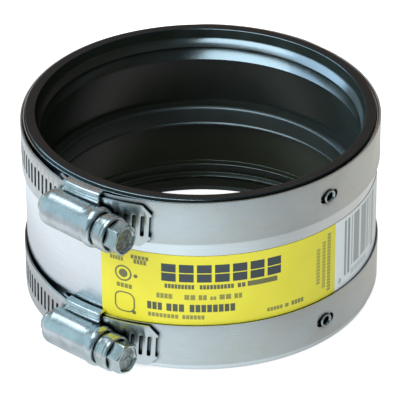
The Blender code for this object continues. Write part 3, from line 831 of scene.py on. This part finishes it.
def housing_section(clamp, along, flanged, shrink=0.0):
    """Loop of (out, up) points round the sheet, this far along the screw from the saddle's centre."""
    half_sheet = housing_thickness / 2
    middle = barrel_bore / 2 + half_sheet + barrel_swell(along)
    from_foot = along + clamp["saddle_ahead"]
    level = sqrt((flange_inner + half_sheet) ** 2 - from_foot ** 2) - clamp["screw_distance"]
    line = []
    if flanged:
        reach = middle + flange_fillet
        foot = asin((level + flange_fillet) / reach)
        centre = (reach * sin(foot), reach * cos(foot))
        line.append((level, saddle_half_width - saddle_thickness - flange_play, 1.0, 0.0))
        for step in range(fillet_steps):
            bend = step / fillet_steps * (pi / 2 - foot)
            out = centre[0] - flange_fillet * cos(bend)
            up = centre[1] - flange_fillet * sin(bend)
            line.append((out, up, cos(bend), sin(bend)))
    else:
        foot = asin(max(level / middle, sin(radians(steepest_foot))))
        end = (middle * sin(foot), middle * cos(foot), sin(foot), cos(foot))
        line += (fillet_steps + 1) * [end]
    for step in range(arch_steps):
        turn = foot + (pi / 2 - foot) * step / arch_steps
        line.append((middle * sin(turn), middle * cos(turn), sin(turn), cos(turn)))
    mirrored = [(out, -up, normal_out, -normal_up) for out, up, normal_out, normal_up in line[::-1]]
    full = line + [(middle, 0.0, 1.0, 0.0)] + mirrored
    outer = [(o + (half_sheet - shrink) * no, u + (half_sheet - shrink) * nu) for o, u, no, nu in full]
    inner = [(o - half_sheet * no, u - half_sheet * nu) for o, u, no, nu in full]
    return outer + inner[::-1]


def in_clamp_frame(shape, clamp):
    """Move a mesh built along X at the origin to the clamp's screw axis."""
    turn = Matrix.Rotation(radians(clamp["screw_angle"]), 4, "Z")
    bmesh.ops.transform(
        shape, matrix=Matrix.Translation(clamp["axis_place"]) @ turn, verts=shape.verts)
    return shape


def build_housing(name, clamp, material):
    half, edge = saddle_length / 2, barrel_edge
    stations = [(-barrel_behind, False, edge), (-barrel_behind + 0.1 * edge, False, edge / 2)]
    stations += [(-barrel_behind + share * dome_length, False, 0.0) for share in dome_shares]
    stations.append((-half - flange_run_out, False, 0.0))
    for i in range(flange_steps + 1):
        stations.append((-half + saddle_length * i / flange_steps, True, 0.0))
    stations.append((half + flange_run_out, False, 0.0))
    for i in range(mouth_steps):
        along = barrel_ahead - mouth_length + (mouth_length - edge) * i / mouth_steps
        stations.append((along, False, 0.0))
    for bend in (0, 30, 60, 90):
        turn = radians(bend)
        along = barrel_ahead - edge + edge * sin(turn)
        stations.append((along, False, edge * (1 - cos(turn))))
    rings = []
    for along, flanged, shrink in stations:
        loop = housing_section(clamp, along, flanged, shrink)
        rings.append([Vector((along, -out, up)) for out, up in loop])
    housing = make_piece(f"{name}_clamp_housing", in_clamp_frame(lofted(rings), clamp), material, 40)
    dress(housing, f"{name}_housing")


# Worm screw, measured from the saddle's centre
def screw_blank_profile():
    core = thread_diameter / 2 - thread_depth
    tip, tip_radius = -barrel_behind - screw_tip_reach, screw_tip_diameter / 2
    journal = barrel_bore / 2 - journal_clearance
    collar = collar_diameter / 2
    start = barrel_ahead + collar_gap
    end = start + collar_thickness
    groove_place = end - collar_thickness / 3
    edge, groove = screw_edge, collar_groove
    profile = [(0, tip)] + arc((tip_radius - 2 * edge, tip + 2 * edge), 2 * edge, -90, 0, 6)
    profile += [
        (tip_radius, -barrel_behind + edge), (core, -barrel_behind + 2 * edge),
        (core, barrel_ahead - journal_length), (journal, barrel_ahead - journal_length + edge),
        (journal, start),
    ]
    profile += arc((collar - edge, start + edge), edge, -90, 0, 4)
    profile += [
        (collar, groove_place - groove), (collar - groove, groove_place), (collar, groove_place + groove)]
    profile += arc((collar - edge, end - edge), edge, 0, 90, 4)
    profile += [(collar - 2 * edge, end), (collar - 3 * edge, end - collar_undercut)]
    return profile + [(0, end - collar_undercut)]


def hex_head(start, end, turn):
    """Hexagon with a chamfered end face and a dish in it, as one skin of rings."""
    corner, flat = hex_across_flats / sqrt(3), hex_across_flats / 2
    dish_flat = flat - dish_rim
    rings = [hex_ring(start, flat, corner, turn)]
    for share in (1.0, 0.75, 0.5, 0.25, 0.0):
        rings.append(hex_ring(end - share * hex_chamfer, flat, flat + share * (corner - flat), turn))
    for depth, share in dish_shape:
        across = share * dish_flat
        rings.append(hex_ring(end - depth * dish_depth, across, dish_corner * across, turn))
    return lofted(rings)


def hex_ring(along, flat, limit, turn):
    """Hexagon this far across its flats, cut back to a circle at its corners."""
    ring = []
    for i in range(hex_points):
        bearing = 360 * i / hex_points
        radius = min(flat / cos(radians(abs(bearing % 60 - 30))), limit)
        angle = radians(bearing + turn)
        ring.append(Vector((along, -radius * cos(angle), radius * sin(angle))))
    return ring


def thread_ridge():
    steps = round(thread_turns * thread_turn_steps)
    root = thread_diameter / 2 - thread_depth - thread_sink
    rings = []
    for i in range(steps + 1):
        turns = i / thread_turn_steps
        full = min(turns, thread_turns - turns) / thread_fade_turns
        crest = root + (thread_depth + thread_sink) * min(max(full, thread_least), 1.0)
        along = thread_start + turns * slot_pitch
        angle = tau * turns
        ring = []
        for offset, radius in (
            (-thread_crest / 2 - thread_flank, root), (-thread_crest / 2, crest),
            (thread_crest / 2, crest), (thread_crest / 2 + thread_flank, root),
        ):
            ring.append(Vector((along + offset, radius * cos(angle), radius * sin(angle))))
        rings.append(ring)
    return lofted(rings)


def build_screw(name, clamp, material):
    """Blank, thread and head are closed bodies that run into each other."""
    collar_end = barrel_ahead + collar_gap + collar_thickness
    hex_end = collar_end + hex_length
    head_data = hex_head(collar_end - collar_thickness / 2, hex_end, clamp["hex_turn"])
    head = make_piece(f"{name}_hex", in_clamp_frame(head_data, clamp))
    round_edges(head, hex_edge, 25)
    blank = in_clamp_frame(turned(screw_blank_profile(), screw_segments, "X"), clamp)
    blank.from_mesh(head.data)
    thread = make_piece(f"{name}_thread", in_clamp_frame(thread_ridge(), clamp))
    blank.from_mesh(thread.data)
    for part in (head, thread):
        bpy.data.objects.remove(part, do_unlink=True)
    screw = make_piece(f"{name}_worm_screw", blank, material)
    crisp(screw, 35)
    dress(screw, f"{name}_screw", f"{name}_screw")


# Hollow rivet with a domed flange outside and a clinched flange inside
def build_eyelet(name, clamp, material):
    hole, shank = eyelet_hole / 2, eyelet_shank / 2
    flange = eyelet_flange / 2
    seat = band_inner + band_thickness + eyelet_clearance
    crown = seat + eyelet_crown
    inner_face = shield_inner - eyelet_clearance
    clinch = inner_face - eyelet_clinch
    edge = eyelet_edge
    profile = [
        (hole, clinch), (flange - edge, clinch), (flange, clinch + edge), (flange, inner_face),
        (shank, inner_face), (shank, seat), (flange, seat), (flange, seat + edge),
    ]
    lip, rise = (flange - hole) / 2, crown - seat - edge
    for step in range(1, 7):
        turn = radians(15 * step)
        profile.append((flange - lip + lip * cos(turn), seat + edge + rise * sin(turn)))
    profile += [(hole + out, crown - down) for out, down in eyelet_roll]
    shape = turned(profile, eyelet_segments)
    lie_down = Matrix.Rotation(radians(90), 3, "X")
    face_out = Matrix.Rotation(radians(clamp["eyelet_angle"]), 3, "Z")
    bmesh.ops.transform(shape, matrix=(face_out @ lie_down).to_4x4(), verts=shape.verts)
    height = clamp["height"] - clamp["eyelet_drop"]
    bmesh.ops.translate(shape, vec=(0, 0, height), verts=shape.verts)
    eyelet = make_piece(f"{name}_hollow_rivet", shape, material, 50)
    dress(eyelet, f"{name}_eyelet")


# Label
label_radius = shield_outer + label_clearance
label_bottom = lower_band_from_end + band_width / 2 - label_tuck


def build_label(material):
    half = (sleeve_length - label_below_end - label_bottom) / 2
    right_angle = label_left_angle + arc_angle(label_width, label_radius)
    angles = []
    for i in range(label_corner_steps + 1):
        inset = label_corner * (1 - cos(pi / 2 * i / label_corner_steps))
        inset = arc_angle(inset, label_radius)
        angles += [label_left_angle + inset, right_angle - inset]
    inner_left, inner_right = label_left_angle + label_plain_margin, right_angle - label_plain_margin
    angles += [inner_left + (inner_right - inner_left) * i / label_steps for i in range(label_steps + 1)]
    columns = []
    for angle in sorted(angles):
        edge = radians(min(angle - label_left_angle, right_angle - angle)) * label_radius
        inward = max(label_corner - edge, 0.0)
        cut = label_corner - sqrt(max(label_corner ** 2 - inward ** 2, 0.0))
        add_column(columns, angle, half - cut)
    sheet = strip(columns, lambda a: label_radius, lambda a: label_bottom + half)
    label = make_piece("printed_label", sheet, material)
    thicken(label, label_thickness)
    apply_modifiers(label)
    crisp(label)
    dress(label, "label")


def label_film():
    """Yellow and white film whose print is plain bars, in millimetres along and up."""
    look = Shader("label_film", Metallic=0.0, Coat_Weight=0.25, Coat_Roughness=0.25)
    along = look.times(look.azimuth(), shield_outer / mm)
    up = look.times(look.split(look.place)[2], 1 / mm)
    place = look.join(along, up, 0.0)
    cloud = look.noise(120.0)
    colour = look.mix(cloud, label_yellow, label_shade)
    colour = look.mix(look.math("GREATER_THAN", along, white_from), colour, label_white)

    def from_box(low_along, high_along, low_up, high_up, corner):
        """Distance outside a box that is smaller by its corner radius on each side."""
        centre = ((low_along + high_along) / 2, (low_up + high_up) / 2, 0.0)
        half = ((high_along - low_along) / 2 - corner, (high_up - low_up) / 2 - corner, 0.0)
        offset = look.vector("ABSOLUTE", look.vector("SUBTRACT", place, centre))
        return look.vector("LENGTH", look.vector(
            "MAXIMUM", look.vector("SUBTRACT", offset, half), (0, 0, 0)))

    for *box, share, pitch_along, pitch_up in label_marks:
        inside = look.math("LESS_THAN", from_box(*box), max(box[4], 0.001))
        for value, start, pitch in ((along, box[0], pitch_along), (up, box[2], pitch_up)):
            if pitch:
                steps = look.math("DIVIDE", look.math("SUBTRACT", value, start), pitch)
                block = look.math("LESS_THAN", look.math("FRACT", steps), block_share)
                inside = look.times(inside, block)
        colour = look.mix(look.times(inside, share), colour, label_ink)
    for ring_along, ring_up, radius, thickness in label_rings:
        distance = look.vector("LENGTH", look.vector("SUBTRACT", place, (ring_along, ring_up, 0.0)))
        line = look.math("COMPARE", distance, radius - thickness / 2, thickness / 2)
        colour = look.mix(look.times(line, line_strength), colour, label_ink)
    for *box, thickness in label_frames:
        line = look.math("COMPARE", from_box(*box), box[4], thickness)
        colour = look.mix(look.times(line, line_strength), colour, label_ink)
    look.feed("Base Color", colour)
    look.feed("Roughness", look.ramp(cloud, 0.38, 0.5, 0.3, 0.7))
    look.bump((look.noise(140.0), label_waves))
    return look.material


# Print on the label: colours, and places in millimetres along from the front and up
label_yellow, label_shade, label_white = rgb(230, 221, 62), rgb(220, 211, 54), rgb(225, 232, 232)
label_ink = rgb(52, 62, 66)
label_waves = 0.06 * mm
white_from = 40.7
line_strength = 0.85
block_share = 0.82
word_corner = 0.1
# Rows of words: low and high place up, strength, and each word's low and high place along and
# the pitch of its blocks, 0 for a plain bar
word_rows = [
    (34.0, 35.0, 0.75, [(-25.9, -21.2, 0.95)]), (34.0, 35.2, 0.8, [(-19.3, -14.1, 1.04)]),
    (32.5, 33.8, 0.75, [(-25.5, -21.4, 0.82)]), (32.5, 33.9, 0.8, [(-18.5, -14.8, 0.93)]),
    (31.4, 34.0, 1.0, [(-10.8, 22.1, 4.8)]), (28.5, 31.1, 1.0, [(-10.8, 22.1, 4.8)]),
    (26.3, 27.7, 0.9, [(-9.9, -1.8, 0.9), (-0.5, 8.8, 0.93), (9.7, 12.0, 1.15)]),
    (24.1, 25.5, 0.75, [(-23.6, -18.9, 1.18)]), (22.9, 24.0, 0.7, [(2.3, 4.1, 0.9)]),
    (22.9, 24.5, 0.7, [(-12.2, -7.7, 1.1), (-4.6, -1.4, 1.6), (-0.8, 1.6, 1.2)]),
    (22.9, 24.5, 0.7, [(4.8, 8.2, 1.7), (8.8, 10.9, 1.2)]),
    (19.0, 21.4, 0.95, [(-14.8, -10.5, 1.45), (-9.5, -4.5, 1.7), (-3.2, 9.3, 1.56)]),
    (16.7, 18.0, 0.7, [(-14.6, -6.1, 1.06), (-5.2, 0.9, 1.02)]),
    (16.9, 18.1, 0.7, [(18.0, 22.7, 0.94), (23.3, 24.4, 0.0)]),
    (16.9, 18.3, 0.75, [(25.3, 29.3, 1.0)]), (16.9, 18.6, 0.3, [(48.2, 57.5, 1.9)]),
]
# Columns of words: low and high place along, low and high place up, strength and pitch
word_columns = [
    (33.5, 34.8, 20.2, 31.7, 0.5, 1.05), (35.6, 36.8, 18.3, 33.3, 0.5, 1.0),
    (37.5, 38.8, 16.6, 35.1, 0.55, 1.03),
]
# Stripes: low and high place along, lower end and strength
stripe_top = 35.6
stripes = [
    (44.8, 45.8, 17.9, 0.6), (46.4, 47.4, 17.9, 0.68), (48.2, 48.9, 19.7, 0.4), (49.5, 52.6, 19.7, 0.55),
    (53.8, 57.3, 19.7, 0.5), (57.9, 59.3, 19.7, 0.42), (60.2, 61.0, 19.7, 0.42), (62.0, 64.4, 17.9, 0.42),
]
# Plain bars: low and high place along, low and high place up, corner and strength
plain_bars = [(12.4, 20.9, 26.3, 27.9, 0.2, 0.85), (42.3, 43.5, 16.4, 18.1, 0.3, 0.45)]
# Each mark's box, corner, strength, and pitch along and up
label_marks = [(low, high, bottom, top, word_corner, share, pitch, 0.0)
               for bottom, top, share, words in word_rows for low, high, pitch in words]
label_marks += [(*box, word_corner, share, 0.0, pitch) for *box, share, pitch in word_columns]
label_marks += [
    (low, high, bottom, stripe_top, 0.0, share, 0.0, 0.0) for low, high, bottom, share in stripes]
label_marks += [(*bar, 0.0, 0.0) for bar in plain_bars]
# Rings: place along, place up, outer radius and thickness
label_rings = [
    (-21.6, 28.7, 2.5, 0.5), (-21.6, 28.7, 1.3, 1.3), (-18.0, 28.5, 0.6, 0.6), (-18.6, 16.8, 0.6, 0.6),
]
# Frame drawn with a thin line: low and high place along, low and high place up, corner, thickness
label_frames = [(-24.1, -18.5, 16.6, 22.6, 2.0, 0.22)]


# Camera fitted to the photograph, in pixels of its frame
frame_pixels, focal_pixels = 400, 3105.8
centre_x, centre_y = 201.0, 191.2
camera_elevation, camera_roll = 31.49, 0.33
camera_distance = 869.5 * mm
sensor_width = 36
aim_point = Vector((0, 0, 27 * mm))

# How far the paper reaches and glows, and how painted shade dims its mirror image with the angle from
# the front to the right
floor_half, paper_glow = 3, 0.75
paper_grey, paper_white = (0.6, 0.6, 0.6, 1.0), (1.0, 1.0, 1.0, 1.0)
paper_front, paper_fade = 0.93, 0.009
paper_least, paper_most = 0.54, 1.04
paper_right, right_fade = 0.72, (50.0, 130.0)
paper_left, paper_cool, paper_warm = (0.95, 0.99, 1.03, 1.0), (0.89, 1.0, 1.04, 1.0), (1.03, 1.0, 0.93, 1.0)
cool_fade, warm_fade, back_fade = (-60.0, -15.0), (0.0, 90.0), (130.0, 180.0)
# Painted shade in the mirror image: far out, in the bore under the sleeve, and close by on the left where
# the coupling's shadow falls
far_level, far_reach = 0.68, (112 * mm, 150 * mm)
bore_level, bore_rise = (0.02, 0.7), (4 * mm, 22 * mm)
bore_back, bore_drop = (1.0, 0.25), (26 * mm, 37 * mm)
shade_level, shade_reach, shade_angles = 0.7, (66 * mm, 84 * mm), (-20.0, -40.0)
world_colour, world_lit, world_seen = (0.93, 0.97, 1.0, 1), 0.62, 1.0


# Camera and light
def set_camera():
    elevation = radians(camera_elevation)
    camera = bpy.data.objects.new("camera", bpy.data.cameras.new("camera"))
    bpy.context.scene.collection.objects.link(camera)
    camera.location = bore + aim_point + camera_distance * Vector((0, -cos(elevation), sin(elevation)))
    turn = Matrix.Rotation(pi / 2 - elevation, 4, "X") @ Matrix.Rotation(-radians(camera_roll), 4, "Z")
    camera.rotation_euler = turn.to_euler()
    camera.data.sensor_width = sensor_width
    camera.data.lens = focal_pixels * sensor_width / frame_pixels
    camera.data.shift_x = (frame_pixels / 2 - centre_x) / frame_pixels
    camera.data.shift_y = (centre_y - frame_pixels / 2) / frame_pixels
    camera.data.clip_end = 20
    bpy.context.scene.camera = camera


def stand(thing, place, axis, aim=aim_point):
    """Stand a lamp or card there, with this axis of its own towards the aim."""
    thing.location = bore + Vector(place)
    thing.rotation_euler = (aim - Vector(place)).to_track_quat(axis, "Y").to_euler()


def add_area(name, size, energy, colour, place):
    data = bpy.data.lights.new(name, "AREA")
    data.shape = "RECTANGLE"
    data.size, data.size_y = size
    data.energy = energy
    data.color = colour
    lamp = bpy.data.objects.new(name, data)
    stand(lamp, place, "-Z")
    lamp.visible_glossy = False
    bpy.context.scene.collection.objects.link(lamp)
    return lamp


def flat_piece(name, size):
    shape = bmesh.new()
    bmesh.ops.create_grid(shape, x_segments=1, y_segments=1, size=size)
    return make_piece(name, shape)


def add_card(name, size, colour, strength, place, aim=aim_point):
    """Card that only reflections see, as a studio's flags and boards."""
    card = flat_piece(name, 0.5)
    card.scale = (*size, 1)
    stand(card, place, "Z", aim)
    look = Shader(name)
    glow = look.add("Emission", colour, strength)
    look.link(glow.outputs[0], look.tree.nodes["Material Output"].inputs["Surface"])
    card.data.materials.append(look.material)
    for rays in ("camera", "diffuse", "shadow", "transmission"):
        setattr(card, f"visible_{rays}", False)


def set_floor():
    """White paper. Painted shade dims its mirror image to the right, far out, in the bore and close by on
    the left.
    """
    floor = flat_piece("floor", floor_half)
    look = Shader("floor_paper", Roughness=0.9, Specular_IOR_Level=0.0, Base_Color=paper_grey,
                  Emission_Color=paper_white)
    rays = look.add("LightPath").outputs
    seen = look.math("MAXIMUM", rays["Is Camera Ray"], rays["Is Transmission Ray"])
    look.feed("Emission Strength", look.times(seen, paper_glow))
    # Level of the mirror image: painted shade by angle and by place on the floor
    radius = look.vector("LENGTH", look.place)
    angle = look.times(look.azimuth(), degrees(1.0))
    fade = look.math("MULTIPLY_ADD", angle, -paper_fade, paper_front)
    least = look.ramp(angle, paper_least, paper_right, *right_fade)
    level = look.math("MINIMUM", look.math("MAXIMUM", fade, least), paper_most)
    behind = look.ramp(look.math("ABSOLUTE", angle), 0.0, 1.0, *back_fade)
    shade = look.times(look.ramp(radius, shade_level, 1.0, *shade_reach),
                       look.ramp(radius, 1.0, far_level, *far_reach))
    level = look.times(level, look.ramp(angle, 1.0, shade, *shade_angles))
    level = look.ramp(behind, level, paper_right)
    y = look.split(look.place)[1]
    bore_shade = look.times(
        look.ramp(y, *bore_level, *bore_rise), look.ramp(y, *bore_back, *bore_drop))
    level = look.ramp(look.math("LESS_THAN", radius, socket_radius), level, bore_shade)
    cool = look.mix(look.ramp(angle, 0.0, 1.0, *cool_fade), paper_left, paper_cool)
    tint = look.mix(look.ramp(angle, 0.0, 1.0, *warm_fade), cool, paper_warm)
    mirrored = look.add("Emission", look.mix(behind, tint, paper_left), level)
    either = look.add(
        "MixShader", rays["Is Glossy Ray"], look.principled.outputs[0], mirrored.outputs[0])
    look.link(either.outputs[0], look.tree.nodes["Material Output"].inputs["Surface"])
    floor.data.materials.append(look.material)


def set_world():
    """Sky that lights softly, and is white to the camera, in mirrors and through glass."""
    world = bpy.data.worlds.new("studio")
    bpy.context.scene.world = world
    world.use_nodes = True
    nodes = Nodes(world.node_tree)
    background = nodes.tree.nodes["Background"]
    background.inputs["Color"].default_value = world_colour
    rays = nodes.add("LightPath").outputs
    seen = nodes.math("MAXIMUM", rays["Is Camera Ray"], rays["Is Glossy Ray"])
    seen = nodes.math("MAXIMUM", seen, rays["Is Transmission Ray"])
    nodes.link(nodes.ramp(seen, world_lit, world_seen), background.inputs["Strength"])


def set_light(sleeve):
    """Soft lamps and cards; the windows on the left shine on the rubber alone."""
    rubber_only = bpy.data.collections.new("rubber_only")
    rubber_only.objects.link(sleeve)
    cool, neutral = (0.9, 0.96, 1.0), (1.0, 0.99, 0.97)
    add_area("front_top", (0.5, 0.5), 2.8, cool, (0.0, -0.6, 0.98))
    add_area("left_top", (0.7, 0.7), 10.0, cool, (-0.72, -0.28, 0.85))
    add_area("left_back", (0.5, 0.5), 2.6, cool, (-0.98, 0.46, 0.52))
    add_area("front_fill", (1.0, 0.5), 4.8, neutral, (-0.55, -1.05, 0.5))
    for name, width, energy, colour, place in (
        ("window_front", 1.3, 120.0, (0.6, 0.85, 1.0), (-0.6, -0.88, 0.46)),
        ("window_back", 1.1, 56.0, (0.47, 0.74, 1.0), (-1.07, 0.02, 0.4)),
    ):
        window = add_area(name, (width, 0.75), energy, colour, place)
        window.visible_glossy = True
        window.visible_diffuse = name == "window_back"
        window.light_linking.receiver_collection = rubber_only
    add_card("window", (1.0, 0.6), (0.78, 0.92, 1.0, 1.0), 3.3, (-0.503, 0.163, 1.215))
    add_card("ceiling", (4.0, 4.0), rgb(135, 152, 160), 1.0, (0, 0, 1.6))
    add_card("back_flag", (3.6, 1.06), rgb(160, 138, 122), 1.0, (0, 1.4, 0.53), Vector((0, 0, 0.53)))
    for name, colour, x, y in (
        ("right_flag", rgb(120, 110, 100), 1.4, 0), ("left_flag", rgb(200, 232, 243), -1.4, 0),
        ("front_flag", rgb(90, 115, 125), 0, -1.4),
    ):
        add_card(name, (2.8, 1.3), colour, 1.0, (x, y, 0.65), Vector((0, 0, 0.65)))


def build():
    bpy.context.scene.view_settings.view_transform = "Standard"
    sleeve = build_sleeve(sleeve_rubber())
    build_shield(brushed_metal(
        "shield_steel", rgb(232, 238, 242), 0.22, 5000.0, 0.004 * mm, sheet_gap_shade, 0.12))
    build_label(label_film())
    band_steel = brushed_metal(
        "band_steel", rgb(205, 210, 212), 0.3, 9000.0, 0.01 * mm, band_gap_shade, 0.6)
    housing_steel = plated_metal("housing_steel", rgb(206, 214, 217), 0.25, housing_gap_shade)
    eyelet_steel = plated_metal("eyelet_steel", rgb(200, 205, 208), 0.22, hole_gap_shade)
    dish = barrel_ahead + collar_gap + collar_thickness + hex_length - dish_depth
    for name, clamp in clamps.items():
        turn = radians(clamp["screw_angle"])
        dish_place = clamp["axis_place"] + dish * Vector((cos(turn), sin(turn), 0))
        screw_steel = plated_metal(f"{name}_screw_steel", rgb(200, 207, 207), 0.24, part_gap_shade, dish_place)
        build_band(name, clamp, band_steel)
        build_saddle(name, clamp, housing_steel)
        build_housing(name, clamp, housing_steel)
        build_screw(name, clamp, screw_steel)
        build_eyelet(name, clamp, eyelet_steel)
    set_camera()
    set_floor()
    set_world()
    set_light(sleeve)


build()
